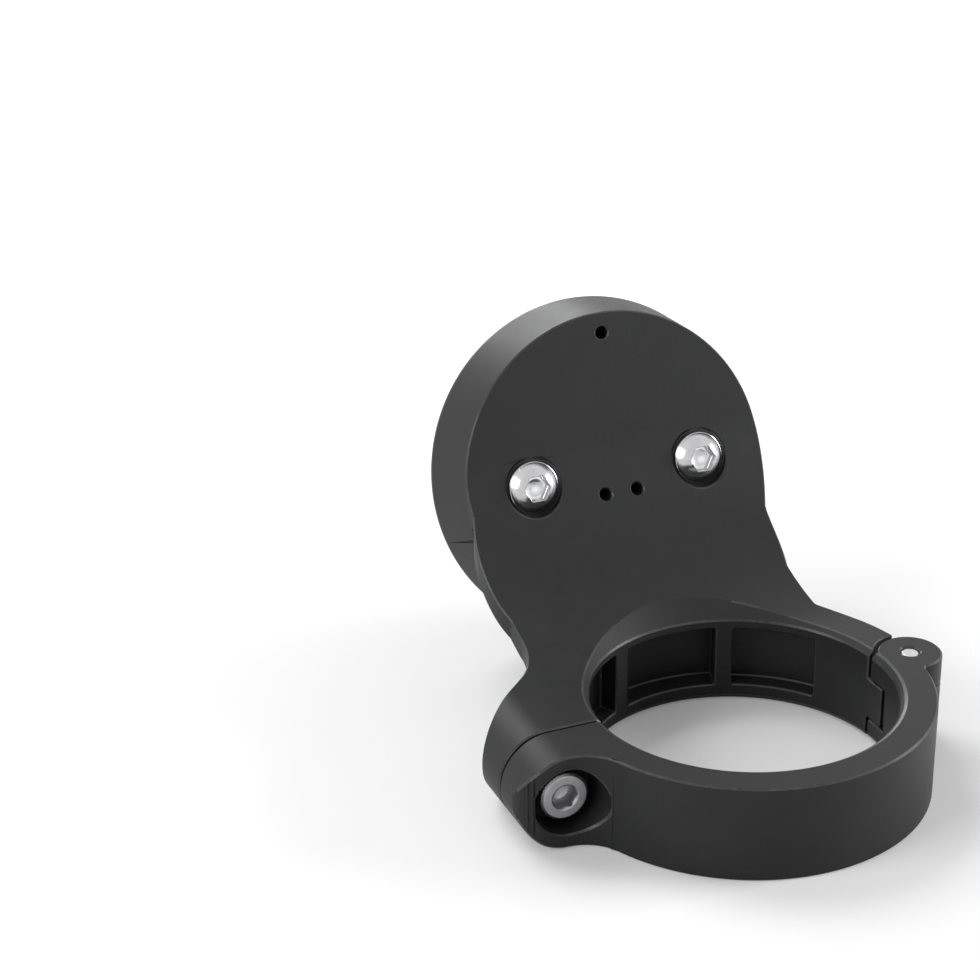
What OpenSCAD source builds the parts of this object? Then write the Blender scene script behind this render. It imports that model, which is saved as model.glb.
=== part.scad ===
// Seatpost radar mount: a hinged clamp ring with a raised quarter-turn socket.
// The clamp bore is the Z axis. The ring stands on its flat face at z = 0, the
// hinge is at +X, the clamp screw at -X, and the socket rises at +Y.

/* [Clamp ring] */
// Inner diameter of the clamp
bore_d = 33; // [29:0.5:36]
// Width of the ring along the seatpost
ring_w = 10.8; // [9.6:0.2:13]
// Wall between the bore and the outside
ring_wall = 4; // [3.6:0.1:5]
// Extra wall of the body half
body_extra = 0.6; // [0:0.1:0.8]
// Lead-in chamfer at both ends of the bore
bore_chamfer = 0.6; // [0.3:0.1:0.9]
// Small chamfer on the outer edges
edge_chamfer = 0.3; // [0.1:0.1:0.5]
// Gap between the two halves at the seam
seam_gap = 0.3; // [0.2:0.1:0.6]

/* [Bore pockets] */
// Height of the solid lip above and below the pockets
lip_h = 2; // [1.6:0.1:2.6]
// Depth of the two outer pockets in the body half
pocket_depth = 2.2; // [1:0.1:2.4]
// Depth of the smooth pocket in the strap half
strap_pocket_depth = 0.9; // [0.4:0.1:1.6]
// Depth of the relief between the two lips that bear on the seatpost
bore_relief = 0.08; // [0.04:0.01:0.2]

/* [Hinge] */
// Diameter of the hinge pin
pin_d = 2; // [1.6:0.1:2.6]
// Running clearance round the pin
pin_clearance = 0.05; // [0.02:0.01:0.1]
// Outer radius of the hinge lugs and the knuckle
lug_r = 3.5; // [3:0.1:4]
// Height of the lower lug
lug_h = 2.5; // [2:0.1:3]
// Height of the knuckle between the lugs
knuckle_h = 4.7; // [3.6:0.1:5]
// Axial clearance on each side of the knuckle
knuckle_clearance = 0.15; // [0.1:0.05:0.3]
// Radial gap between the lugs and the body
lug_gap = 0.45; // [0.3:0.05:0.7]
// Radial gap between the knuckle and its slot in the strap
slot_gap = 1.1; // [0.8:0.1:1.3]

/* [Clamp ear and screw] */
// Distance from the bore axis to the clamp screw
screw_x = 22.8; // [22:0.2:26]
// Depth of the strap ear in front of the seam
strap_ear = 5.7; // [5:0.1:7]
// Corner radius of the strap ear
strap_corner = 3; // [1:0.5:4]
// Height of the pocket floor above the seam in the body ear
ear_floor = 6.4; // [5.6:0.2:8]
// Height of the outer corner of the body ear above the seam
ear_corner = 4.8; // [4:0.2:6]
// Slope of the body ear's upper side
ear_slope = 42; // [36:1:48]
// Fillet radius between the body ear and the neck
ear_fillet = 7.5; // [5:0.5:10]
// Fillet radius between the strap ear and the ring
strap_fillet = 5; // [4:0.5:8]
// Thread diameter of the clamp screw
screw_d = 3; // [2.6:0.1:3.4]
// Length of the clamp screw under its head
screw_l = 6; // [5:0.5:7.5]
// Diameter of the clamp screw's head
head_d = 5.5; // [5:0.1:6]
// Height of the clamp screw's head
head_h = 3; // [2.4:0.1:3.2]
// Diameter of the recess that takes the head
recess_d = 7.6; // [7:0.1:8]
// Strap material left between the head and the seam
head_seat = 1.6; // [1.2:0.1:2.4]

/* [Socket housing] */
// Distance from the bore axis to the middle of the socket's front
puck_y = 41; // [39:0.5:46]
// Height of the middle of the socket's front
puck_z = 20.2; // [18.5:0.2:24]
// Tilt of the socket's front, down towards the base
tilt = 15.5; // [10:0.5:20]
// Largest radius of the housing
puck_r = 19.8; // [19.2:0.1:22]
// Thickness of the housing from front to back
puck_t = 9.3; // [9:0.1:11]
// Radius of the housing's back edge
back_r = 18.6; // [18:0.1:19]
// Width of the bevel round the front
rim_bevel = 1; // [0.5:0.05:1.2]
// Depth of the bevel round the front
rim_drop = 1.2; // [0.9:0.1:2]

/* [Neck] */
// Radius of the back surface where it leaves the ring
ring_sweep_r = 30; // [26:1:34]
// Radius of the back surface where it meets the housing
puck_sweep_r = 20; // [16:1:24]
// Angle at which the two radii meet
sweep_split = 30; // [24:1:36]
// Half the neck's width at its waist
neck_half = 17.3; // [16.8:0.1:17.8]
// Half the neck's width at the housing
neck_top_half = 18.1; // [17.6:0.1:18.4]
// Sideways shift of the neck towards the screw
neck_shift = 1; // [0:0.1:1.2]
// Height of the throat under the neck
throat_h = 4.4; // [3:0.2:6]
// Thickness of the back sheet beside the groove
sheet_t = 2.3; // [1.8:0.1:2.8]
// Thickness of the front lip beside the groove
groove_lip = 2.6; // [2:0.1:3]

/* [Quarter-turn plate] */
// Outer diameter of the plate
plate_d = 34.6; // [34:0.2:35]
// Gap between the plate and its housing
plate_gap = 0.35; // [0.2:0.05:0.5]
// Thickness of the plate
plate_t = 5.5; // [5.2:0.1:6.2]
// Diameter of the socket's mouth
mouth_d = 26.1; // [25:0.1:27]
// Diameter over the two entry notches
notch_d = 32.4; // [31:0.1:32.8]
// Width of an entry notch
notch_w = 11.6; // [10:0.2:12.4]
// Thickness of the lip that the tabs turn under
lip_t = 1.7; // [1.4:0.1:2]
// Depth of the socket's floor below the front
floor_depth = 3.5; // [3.3:0.1:3.8]
// Distance of the floor's slots from the middle
slot_x = 6.6; // [6:0.1:7]
// Width of a slot
slot_w = 1.5; // [1:0.1:1.8]
// Nearest end of a slot to the middle
slot_y = 2.8; // [2.4:0.1:3.4]
// Diameter of the hole in the middle of the floor
centre_hole_d = 2.9; // [2:0.1:3.2]
// Greatest height of a detent wedge above the floor
wedge_h = 1.7; // [1:0.1:1.7]

/* [Plate fasteners] */
// Distance between the two plate bolts
bolt_spacing = 20.9; // [20.4:0.1:21.4]
// Thread diameter of the plate bolts
bolt_d = 3; // [2.6:0.1:3.2]
// Head diameter of the plate bolts
bolt_head_d = 6; // [5.6:0.1:6.4]
// Head height of the plate bolts
bolt_head_h = 2; // [1.6:0.1:2.2]
// Outer diameter of a threaded insert
insert_d = 5.2; // [4.8:0.1:5.6]
// Height of an insert's face above the floor
insert_proud = 0.3; // [0.1:0.1:0.5]
// Depth of the bolt's tip below the insert's face
tip_depth = 1.6; // [1:0.2:2.4]
// Diameter of the small holes in the back
vent_d = 1.5; // [1:0.1:1.8]

/* [Hidden] */
$fn = 96;
eps = 0.01;
far = 80;

bore_r = bore_d / 2;
ring_r = bore_r + ring_wall;
mid_z = ring_w / 2;
ear_r = mid_z;
ear_end = screw_x + ear_r;
half_seam = seam_gap / 2;

// Start angle, end angle and extra depth of each pocket in the body's half of the bore
body_pockets = [[33, 66, 0], [72.5, 112, 0.6], [119, 148, 0]];
strap_pocket_span = [-140, -31];
relief_inset = 0.1;
body_pocket_top = ring_w - lip_h + 0.4;
strap_pocket_top = ring_w - lip_h;

pin_x = ring_r;
pin_hole_r = pin_d / 2 + pin_clearance;
seat_r = lug_r + lug_gap;
slot_r = lug_r + slot_gap;
knuckle_z = lug_h + knuckle_clearance;
upper_lug_z = knuckle_z + knuckle_h + knuckle_clearance;
lug_reach = 1.4;
knuckle_reach = -1;

back_y = puck_y - puck_t * cos(tilt);
back_z = puck_z + puck_t * sin(tilt);
land_r = puck_r - rim_bevel;
cup_r = plate_d / 2 + plate_gap;
cup_depth = plate_t;

shank_r = 0.4 * screw_d;
thread_r = screw_d / 2;
clearance_r = thread_r + 0.25;
bolt_r = bolt_d / 2 - 0.05;
insert_r = insert_d / 2;
insert_top = -floor_depth + insert_proud;
insert_bottom = -plate_t + 0.2;

// Places of the small holes in the back, in the housing's frame
vents = [[0, 16.2], [-2, -2.2], [2, -2.2]];
// Wall left at the outer end of the groove
groove_wall = 1.8;

// Points on an arc about a centre, from one angle to another
function arc(c, r, from, to, steps = 12) =
    [for (i = [0:steps]) let (a = from + (to - from) * i / steps) c + r * [cos(a), sin(a)]];

// The back surface in the Y-Z plane: flat on the ring, two arcs up the neck, and
// straight up the housing's back. A depth moves it inwards, into the material.
sweep_end = 90 - tilt;
end_z = ring_w + ring_sweep_r * (1 - cos(sweep_split))
    + puck_sweep_r * (cos(sweep_split) - cos(sweep_end));
sweep_y = back_y + (end_z - back_z) * tan(tilt) - ring_sweep_r * sin(sweep_split)
    - puck_sweep_r * (sin(sweep_end) - sin(sweep_split));
low_centre = [sweep_y, ring_w + ring_sweep_r];
high_centre = low_centre + (ring_sweep_r - puck_sweep_r) * [sin(sweep_split), -cos(sweep_split)];
function back_curve(depth) = concat(
    arc(low_centre, ring_sweep_r + depth, -90, -90 + sweep_split),
    arc(high_centre, puck_sweep_r + depth, -90 + sweep_split, -tilt));
function last(list) = list[len(list) - 1];
function behind(depth) = let (curve = back_curve(depth)) concat(
    [[-far, ring_w - depth]], curve, [last(curve) + far * [sin(tilt), cos(tilt)]]);

// Everything in front of the back surface, at a depth inside it
module front_of_sheet(depth = 0) {
    rotate([90, 0, 90]) translate([0, 0, -far]) linear_extrude(2 * far)
        polygon(concat(behind(depth), [[2 * far, far], [2 * far, -far], [-far, -far]]));
}

// The housing's frame: Z out of the socket, Y up the housing, X to the right seen from the front
module at_puck() {
    translate([0, puck_y, puck_z]) rotate([-90 - tilt, 0, 0]) rotate([0, 0, 180]) children();
}

// The ears' section across the screw: flat faces with a half-round end
module ear_section() {
    rotate([90, 0, 0]) translate([0, 0, -far]) linear_extrude(2 * far) union() {
        translate([-screw_x, mid_z]) circle(r = ear_r);
        translate([-screw_x, 0]) square([2 * far, ring_w]);
    }
}

// The bore: lead-in chamfers, the upper one opening out where the body rises, and a
// shallow relief between its two bearing lips
module bore_cut(pocket_top) {
    low = lip_h + relief_inset;
    high = pocket_top - relief_inset;
    rotate_extrude() polygon([[0, -1], [bore_r + bore_chamfer + 1, -1], [bore_r, bore_chamfer],
        [bore_r, low], [bore_r + bore_relief, low], [bore_r + bore_relief, high], [bore_r, high],
        [bore_r, ring_w - bore_chamfer], [bore_r + 2.4, ring_w - bore_chamfer + 2.4], [0, ring_w + 2.4]]);
}

// A curved pocket in the bore between two angles
module bore_pocket(from, to, depth, low, high) {
    rotate([0, 0, from]) translate([0, 0, low]) rotate_extrude(angle = to - from)
        translate([bore_r - 1, 0]) square([1 + depth, high - low]);
}

// The body's ear seen from above: a sloping side with a fillet up to the neck
slope_normal = [-sin(ear_slope), cos(ear_slope)];
ear_tip = [-ear_end, ear_corner];
fillet_c = let (x = -neck_half - neck_shift - ear_fillet)
    [x, ear_tip[1] + (ear_fillet - (x - ear_tip[0]) * slope_normal[0]) / slope_normal[1]];
module ear_sheet_plan() {
    polygon(concat([[-ear_end, half_seam], ear_tip],
        arc(fillet_c, ear_fillet, -90 + ear_slope, 0),
        [[-neck_half, fillet_c[1] + 1], [-bore_r / 2, fillet_c[1] + 1], [-bore_r / 2, half_seam]]));
}
module ear_lip_plan() {
    polygon([[-ear_end, half_seam], ear_tip, ear_tip + 12.6 * [cos(ear_slope), sin(ear_slope)],
        [-12.6, ring_r - 3], [-bore_r / 2, ring_r - 3], [-bore_r / 2, half_seam]]);
}

// The neck as a stack of sections across Y: straight edges beside the back sheet, and a
// rounded front that is nearly square at the ring and elliptical at the housing
throat_from = ring_r - 0.3;
throat_to = back_y - back_r * sin(tilt) - 0.2;
neck_from = bore_r - 8;
neck_to = throat_to + 4;
function ease(y) = 1 - pow(1 - max(0, min(1, (y - throat_from) / (throat_to - throat_from))), 2.6);
function back_height(y) = y < low_centre[0] ? ring_w
    : y < low_centre[0] + ring_sweep_r * sin(sweep_split)
    ? low_centre[1] - sqrt(pow(ring_sweep_r, 2) - pow(y - low_centre[0], 2))
    : high_centre[1] - sqrt(pow(puck_sweep_r, 2) - pow(y - high_centre[0], 2));
function front_height(y) = y > throat_to ? throat_h - 0.435 * (y - throat_to) : 0.3 + (throat_h - 0.3) * ease(y);
function half_width(y) = neck_half + (neck_top_half - neck_half) * ease(y);
function roundness(y, side) = side < 0 ? 4 - 1.6 * ease(y) : 2.3 - 0.4 * ease(y);
function neck_section(y) = let (top = back_height(y) - sheet_t, low = front_height(y),
        a = half_width(y)) concat(
    [[-a - neck_shift, y, far]],
    [for (i = [0:neck_steps]) let (t = 180 * i / neck_steps, e = 2 / roundness(y, t - 90))
        [-neck_shift - a * sign(cos(t)) * pow(abs(cos(t)), e), y, top - (top - low) * pow(abs(sin(t)), e)]],
    [[a - neck_shift, y, far]]);
neck_steps = 24;
neck_rows = 20;
module neck() {
    ring_size = neck_steps + 3;
    points = [for (k = [0:neck_rows]) each neck_section(neck_from + (neck_to - neck_from) * k / neck_rows)];
    sides = [for (k = [0:neck_rows - 1], i = [0:ring_size - 1]) let (j = (i + 1) % ring_size,
            p = k * ring_size + i, q = k * ring_size + j)
        each [[p, q, q + ring_size], [p, q + ring_size, p + ring_size]]];
    first = [for (i = [ring_size - 1:-1:0]) i];
    final = [for (i = [0:ring_size - 1]) neck_rows * ring_size + i];
    intersection() {
        polyhedron(points, concat(sides, [first, final]), convexity = 4);
        at_puck() translate([0, 0, -far]) linear_extrude(2 * far) {
            circle(r = back_r);
            translate([-far, -far]) square([2 * far, far]);
        }
    }
}

module housing() {
    at_puck() rotate_extrude() polygon([[0, -puck_t - 4], [back_r - 0.3, -puck_t - 4],
        [back_r, -puck_t + 0.3], [puck_r, -rim_drop - 0.6], [puck_r - 0.05, -rim_drop], [land_r, 0], [0, 0]]);
}

// Everything on the screw's side of an upright plane in the neck, turned in plan and leaning
module beyond(point, turn, lean) {
    translate(point) rotate([0, 0, turn]) rotate([0, lean, 0]) translate([-far, -far, -far]) cube([far, 2 * far, 2 * far]);
}

// The groove between the front shell and the back sheet, running from the screw's pocket
// up the neck and into the side of the housing
module groove() {
    intersection() {
        front_of_sheet(sheet_t);
        union() {
            intersection() {
                beyond([-13.2, 19.4, 10], 0, 22);
                beyond([-14.9, 15.7, 8.4], -33, 22);
                beyond([-14.8, 23.6, 12], 19.5, -9);
                translate([groove_wall - ear_end, ear_floor, groove_lip]) cube([far, far, far]);
                at_puck() translate([-far, -far, -far]) cube([2 * far, 2 * far, far - plate_t - 0.5]);
            }
            translate([groove_wall - ear_end, ear_floor, groove_lip]) cube([ear_r + 0.5, 6, far]);
        }
    }
}

module body() {
    color("#2b2c2e") difference() {
        union() {
            difference() {
                intersection() {
                    union() {
                        ring_block();
                        neck();
                        housing();
                        intersection() {
                            union() {
                                linear_extrude(ring_w) ear_lip_plan();
                                translate([0, 0, ring_w - sheet_t]) linear_extrude(sheet_t + 3) ear_sheet_plan();
                            }
                            ear_section();
                        }
                    }
                    front_of_sheet();
                    translate([-far, half_seam, -far]) cube(2 * far);
                }
                bore_cut(body_pocket_top);
                hinge_seat();
            }
            knuckle();
        }
        translate([pin_x, 0, -eps]) cylinder(r = pin_hole_r, h = ring_w + 1, $fn = 48);
        groove();
        for (p = body_pockets) bore_pocket(p[0], p[1], pocket_depth + p[2], lip_h, body_pocket_top);
        translate([-screw_x, half_seam - eps, mid_z]) rotate([-90, 0, 0])
            cylinder(r = thread_r, h = ear_floor + 1, $fn = 48);
        at_puck() {
            translate([0, 0, -cup_depth]) cylinder(r = cup_r, h = far);
            for (side = [-1, 1]) translate([side * bolt_spacing / 2, 0, -puck_t - 4]) {
                cylinder(r = bolt_r + 0.2, h = far, $fn = 48);
                cylinder(r = bolt_head_d / 2 + 0.4, h = 4, $fn = 64);
            }
            for (p = vents) translate([p[0], p[1], -far])
                cylinder(r = vent_d / 2, h = far, $fn = 32);
        }
    }
}

// The body half of the ring, tall enough to meet the back surface
module ring_block() {
    r = ring_r + body_extra;
    rotate_extrude() polygon([[bore_r - 1, 0], [r - edge_chamfer, 0], [r, edge_chamfer],
        [r, ring_w + 3], [bore_r - 1, ring_w + 3]]);
}

// Room for the strap's lugs in the body
module hinge_seat() {
    for (span = [[-eps, knuckle_z], [upper_lug_z - knuckle_clearance, far]])
        translate([0, 0, span[0]]) linear_extrude(span[1] - span[0]) union() {
            translate([pin_x, 0]) circle(r = seat_r);
            translate([bore_r - 2, -eps]) square([pin_x - bore_r + 2, lug_reach + lug_gap]);
            translate([pin_x, -eps]) square([far, lug_r]);
        }
}

module knuckle() {
    translate([0, 0, knuckle_z]) linear_extrude(knuckle_h) difference() {
        union() {
            translate([pin_x, 0]) circle(r = lug_r);
            intersection() {
                circle(r = ring_r);
                translate([bore_r - 1, knuckle_reach]) square([ring_wall + 1, lug_r + 2 - knuckle_reach]);
            }
        }
        circle(r = bore_r);
    }
}

// The strap's ear seen from above, with its fillet into the ring
strap_fillet_y = -strap_ear - strap_fillet;
strap_fillet_x = -sqrt(pow(ring_r + strap_fillet, 2) - strap_fillet_y * strap_fillet_y);
strap_touch = atan2(strap_fillet_y, strap_fillet_x) + 180;
module strap_ear_plan() {
    polygon(concat([[-ear_end, -half_seam]],
        arc([strap_corner - ear_end, strap_corner - strap_ear], strap_corner, 180, 270, 6),
        arc([strap_fillet_x, strap_fillet_y], strap_fillet, 90, strap_touch),
        [[-bore_r * 0.8, -ring_r * 0.5], [-bore_r, -half_seam]]));
}

module clamp_strap() {
    color("#2b2c2e") difference() {
        union() {
            intersection() {
                strap_ring();
                union() {
                    translate([-far, -2 * far - half_seam, -1]) cube([2 * far, 2 * far, ring_w + 2]);
                    translate([bore_r / 2, -half_seam - 1, -1]) cube([far, lug_reach + half_seam + 1, ring_w + 2]);
                }
            }
            intersection() {
                linear_extrude(ring_w) strap_ear_plan();
                ear_section();
            }
            translate([pin_x, 0, 0]) cylinder(r = lug_r, h = ring_w);
            linear_extrude(lug_h) lug_blend_plan();
        }
        bore_cut(strap_pocket_top);
        translate([pin_x, 0, -1]) cylinder(r = pin_hole_r, h = ring_w + 2, $fn = 48);
        translate([pin_x, 0, lug_h]) cylinder(r = slot_r, h = upper_lug_z - lug_h);
        bore_pocket(strap_pocket_span[0], strap_pocket_span[1], strap_pocket_depth, lip_h, strap_pocket_top);
        translate([-screw_x, 1, mid_z]) rotate([90, 0, 0]) cylinder(r = clearance_r, h = 20, $fn = 48);
        translate([-screw_x, -head_seat, mid_z]) rotate([90, 0, 0]) cylinder(r = recess_d / 2, h = 20, $fn = 64);
    }
}

module strap_ring() {
    rotate_extrude() polygon([[bore_r - 1, 0], [ring_r - edge_chamfer, 0], [ring_r, edge_chamfer],
        [ring_r, ring_w - edge_chamfer], [ring_r - edge_chamfer, ring_w], [bore_r - 1, ring_w]]);
}

// The lower lug's fill into the outside of the ring
module lug_blend_plan() {
    lug_touch = 62;
    ring_touch = 21;
    polygon([[pin_x, 0], [pin_x + lug_r * cos(lug_touch), -lug_r * sin(lug_touch)],
        (ring_r - 0.05) * [cos(ring_touch), -sin(ring_touch)], (bore_r + 1) * [cos(ring_touch), -sin(ring_touch)]]);
}

module hinge_pin() {
    color("#d8d9db") translate([pin_x, 0, 0.15]) cylinder(r = pin_d / 2, h = ring_w - 0.3, $fn = 48);
}

// A socket-head cap screw: hexagon socket, plain core where the thread runs
module clamp_screw() {
    color("#b9babc") translate([-screw_x, -head_seat, mid_z]) rotate([-90, 0, 0]) difference() {
        union() {
            cylinder(r = shank_r, h = screw_l, $fn = 48);
            rotate_extrude($fn = 64) polygon([[0, -head_h], [head_d / 2 - 0.3, -head_h],
                [head_d / 2, -head_h + 0.3], [head_d / 2, 0], [0, 0]]);
        }
        translate([0, 0, -head_h - eps]) cylinder(d = 2.5 / cos(30), h = 1.6, $fn = 6);
    }
}

// One detent wedge on its flexible tongue, rising outwards
module wedge() {
    inner = 6.2;
    outer = 11.8;
    inner_half = 0.7;
    outer_half = 1.5;
    inner_share = 0.45;
    intersection() {
        rotate([90, 0, 90]) translate([0, 0, -2]) linear_extrude(4) polygon([[inner, -0.5],
            [inner, wedge_h * inner_share], [outer, wedge_h], [outer, -0.5]]);
        translate([0, 0, -0.5]) linear_extrude(3)
            polygon([[-inner_half, inner], [inner_half, inner], [outer_half, outer], [-outer_half, outer]]);
    }
}

// The socket plate: lip with two entry notches, undercut, and a floor with two tongues
module quarter_turn_plate() {
    color("#3a3b3d") at_puck() difference() {
        union() {
            difference() {
                translate([0, 0, -plate_t + 0.1]) cylinder(d = plate_d, h = plate_t - 0.1);
                translate([0, 0, -floor_depth]) cylinder(d = notch_d + 0.2, h = floor_depth - lip_t);
                translate([0, 0, -floor_depth]) cylinder(d = mouth_d, h = far);
                intersection() {
                    translate([0, 0, -floor_depth]) cylinder(d = notch_d, h = far);
                    translate([-far, -notch_w / 2, -floor_depth]) cube([2 * far, notch_w, far]);
                }
            }
            for (turn = [0, 180]) rotate([0, 0, turn]) translate([0, 0, -floor_depth]) wedge();
        }
        translate([0, 0, -far]) cylinder(d = centre_hole_d, h = 2 * far, $fn = 48);
        for (side = [-1, 1]) translate([side * bolt_spacing / 2, 0, -far])
            cylinder(r = insert_r, h = 2 * far, $fn = 48);
        for (side = [-1, 1], up = [-1, 1])
            translate([side * slot_x - slot_w / 2, up > 0 ? slot_y : -slot_y - 9, -far]) cube([slot_w, 9, far - lip_t - 0.1]);
    }
}

// A threaded insert with a groove round its waist
module insert(side) {
    color("#c9c9c6") at_puck() translate([side * bolt_spacing / 2, 0, 0]) rotate_extrude($fn = 48)
        polygon([[bolt_d / 2, insert_bottom], [insert_r - 0.15, insert_bottom], [insert_r, insert_bottom + 0.2],
            [insert_r, insert_top - 0.15], [insert_r - 0.15, insert_top], [bolt_d / 2 + 0.2, insert_top],
            [bolt_d / 2, insert_top - 0.2]]);
}
module insert_left() { insert(-1); }
module insert_right() { insert(1); }

// A button-head bolt from the back, with a domed head and a hexagon socket
module plate_bolt(side) {
    dome_r = (pow(bolt_head_d / 2 - 0.1, 2) + pow(bolt_head_h - 0.4, 2)) / (2 * (bolt_head_h - 0.4));
    dome_a = asin((bolt_head_d / 2 - 0.1) / dome_r);
    color("#c4c6c9") at_puck() translate([side * bolt_spacing / 2, 0, -puck_t]) difference() {
        union() {
            cylinder(r = bolt_r, h = puck_t + insert_top - tip_depth, $fn = 48);
            rotate_extrude($fn = 64) polygon(concat([[0, 0], [bolt_head_d / 2, 0], [bolt_head_d / 2, -0.4]],
                arc([0, -bolt_head_h + dome_r], dome_r, -90 + dome_a, -90)));
        }
        translate([0, 0, -bolt_head_h - eps]) cylinder(d = 2.8 / cos(30), h = 1.3, $fn = 6);
    }
}
module plate_bolt_left() { plate_bolt(-1); }
module plate_bolt_right() { plate_bolt(1); }

body();
clamp_strap();
hinge_pin();
clamp_screw();
quarter_turn_plate();
insert_left();
insert_right();
plate_bolt_left();
plate_bolt_right();
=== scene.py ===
"""Seatpost radar mount: a hinged clamp ring with a raised quarter-turn socket, dressed for a studio picture.

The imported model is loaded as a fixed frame. Each visible piece is shaped here in fine detail, in millimetres, at the
place where the frame has it, and is then brought to metres. The clamp bore is the Z axis, the hinge is at +X, the
clamp screw at -X and the socket rises at +Y.
"""
import logging
import math
from collections.abc import Callable, Sequence
from dataclasses import dataclass, field
from enum import Enum

import bpy
from mathutils import Matrix, Vector


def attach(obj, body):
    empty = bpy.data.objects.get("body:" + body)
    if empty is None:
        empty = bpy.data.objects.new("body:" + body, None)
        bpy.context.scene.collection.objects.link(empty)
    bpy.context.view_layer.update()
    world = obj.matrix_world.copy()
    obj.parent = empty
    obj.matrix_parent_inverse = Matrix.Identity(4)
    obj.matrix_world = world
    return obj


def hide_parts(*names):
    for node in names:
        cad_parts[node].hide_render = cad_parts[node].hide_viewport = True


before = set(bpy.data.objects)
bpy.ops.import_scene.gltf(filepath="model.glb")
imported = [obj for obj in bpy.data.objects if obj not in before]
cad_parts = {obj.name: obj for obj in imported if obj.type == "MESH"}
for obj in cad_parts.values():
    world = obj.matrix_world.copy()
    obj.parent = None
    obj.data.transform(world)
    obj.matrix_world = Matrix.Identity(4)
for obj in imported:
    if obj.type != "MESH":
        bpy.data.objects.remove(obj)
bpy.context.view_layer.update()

MM = 0.001
FAR = 80.0

log = logging.getLogger("radar_mount")

Point = tuple[float, float]
Outline = list[Point]


class Operation(Enum):
    """What one solid does to another."""

    JOIN = "UNION"
    CUT = "DIFFERENCE"
    KEEP = "INTERSECT"


class Side(Enum):
    """The two fasteners of the plate, seen from the socket's front."""

    LEFT = -1
    RIGHT = 1


def turn(angle: float, axis: str) -> Matrix:
    """A rotation matrix for an angle in degrees about X, Y or Z."""
    return Matrix.Rotation(math.radians(angle), 4, axis)


def shift(x: float, y: float, z: float) -> Matrix:
    """A translation matrix."""
    return Matrix.Translation((x, y, z))


def arc(centre: Point, radius: float, start: float, end: float, steps: int = 48) -> Outline:
    """Points on a circular arc.

    Args:
        centre: Middle of the arc.
        radius: Its radius.
        start: First angle in degrees.
        end: Last angle in degrees.
        steps: Number of equal parts.

    Returns:
        The points, both ends included.
    """
    angles = [math.radians(start + (end - start) * i / steps) for i in range(steps + 1)]
    return [(centre[0] + radius * math.cos(a), centre[1] + radius * math.sin(a)) for a in angles]


def slot_outline(x: float, low: float, high: float, width: float) -> Outline:
    """The outline of an upright slot with round ends."""
    r = width / 2
    return arc((x, high - r), r, 0, 180, 12) + arc((x, low + r), r, 180, 360, 12)


def clear_selection() -> None:
    """Leaves edit mode and deselects everything, so that the next operator acts on its own piece alone."""
    if bpy.context.object and bpy.context.object.mode != "OBJECT":
        bpy.ops.object.mode_set(mode="OBJECT")
    bpy.ops.object.select_all(action="DESELECT")


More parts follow.
